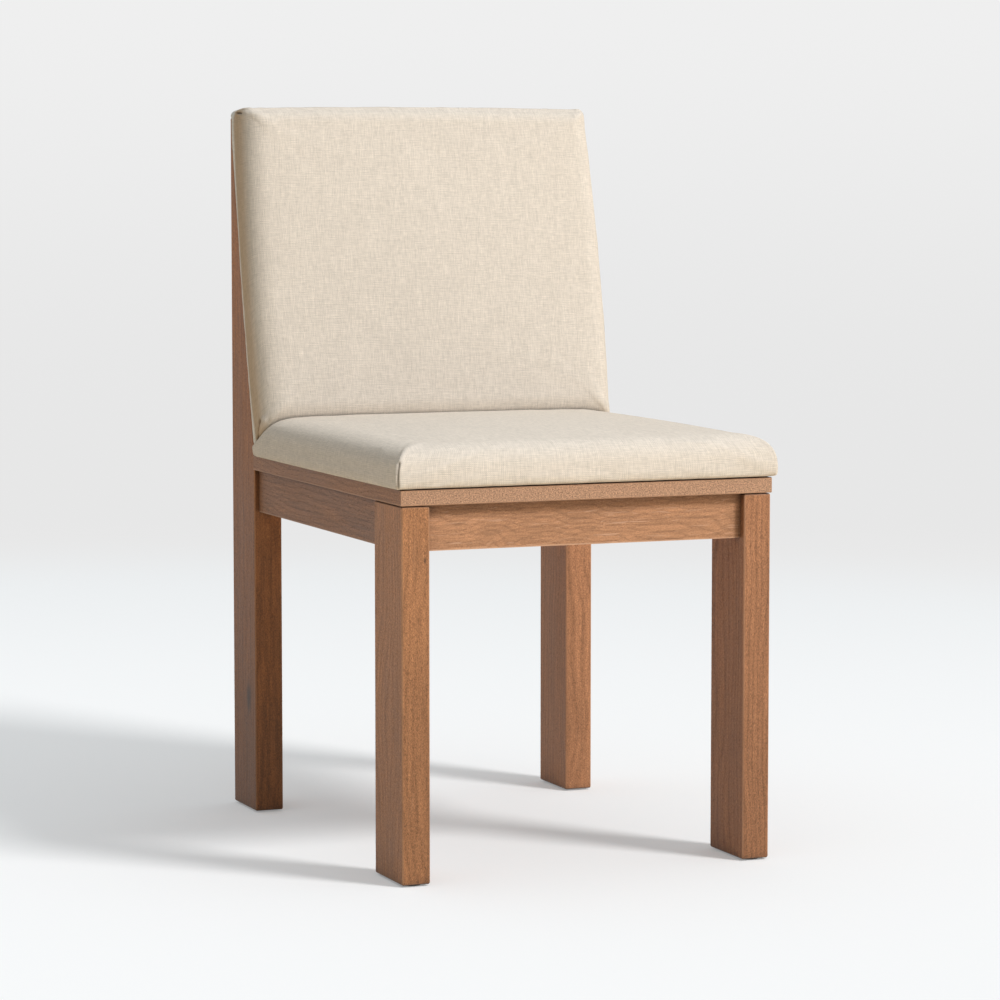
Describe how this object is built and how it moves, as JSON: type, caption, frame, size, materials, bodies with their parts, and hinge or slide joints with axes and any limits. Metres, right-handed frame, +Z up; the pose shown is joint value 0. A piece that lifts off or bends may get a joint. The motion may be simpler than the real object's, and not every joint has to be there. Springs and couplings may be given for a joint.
{
  "type": "dining chair",
  "caption": "Armless dining chair with deep board legs of wood, a wooden seat board under a padded fabric seat, and a sloped padded fabric back.",
  "frame": {"origin": "on the floor, under the middle of the chair's outline", "axes": "+Z is up, the chair faces -Y, and +X is to the right seen from the front"},
  "size_m": [0.453, 0.583, 0.8392],
  "materials": {
    "oak": "medium brown stained oak with open grain, satin",
    "inner_wood": "bare sawn hardwood",
    "plywood": "bare plywood and board",
    "fabric": "flat woven linen blend in a mottled natural beige",
    "foam": "open cell foam",
    "steel": "zinc plated steel",
    "nylon": "moulded nylon"
  },
  "bodies": {
    "root": {"back_cover": "fabric", "back_foam": "foam", "back_lower_rail": "inner_wood", "back_panel": "plywood", "back_panel_screw_lower_left": "steel", "back_panel_screw_lower_right": "steel", "back_panel_screw_middle_left": "steel", "back_panel_screw_middle_right": "steel", "back_panel_screw_upper_left": "steel", "back_panel_screw_upper_right": "steel", "back_top_rail": "inner_wood", "corner_block_front_left": "inner_wood", "corner_block_front_right": "inner_wood", "corner_block_rear_left": "inner_wood", "corner_block_rear_right": "inner_wood", "foot_glide_front_left": "nylon", "foot_glide_front_right": "nylon", "foot_glide_rear_left": "nylon", "foot_glide_rear_right": "nylon", "front_leg_left": "oak", "front_leg_right": "oak", "front_rail": "oak", "leg_block_screw_front_left": "steel", "leg_block_screw_front_right": "steel", "leg_block_screw_rear_left": "steel", "leg_block_screw_rear_right": "steel", "outside_back_board": "plywood", "outside_back_cover": "fabric", "rail_block_screw_front_left": "steel", "rail_block_screw_front_right": "steel", "rail_block_screw_rear_left": "steel", "rail_block_screw_rear_right": "steel", "rear_post_left": "oak", "rear_post_right": "oak", "rear_rail": "oak", "seat_board": "oak", "seat_board_screw_front_left": "steel", "seat_board_screw_front_right": "steel", "seat_board_screw_rear_left": "steel", "seat_board_screw_rear_right": "steel", "seat_cover": "fabric", "seat_foam": "foam", "seat_pad_screw_front_left": "steel", "seat_pad_screw_front_right": "steel", "seat_pad_screw_rear_left": "steel", "seat_pad_screw_rear_right": "steel", "seat_panel": "plywood", "side_rail_left": "oak", "side_rail_right": "oak"}
  },
  "joints": []
}
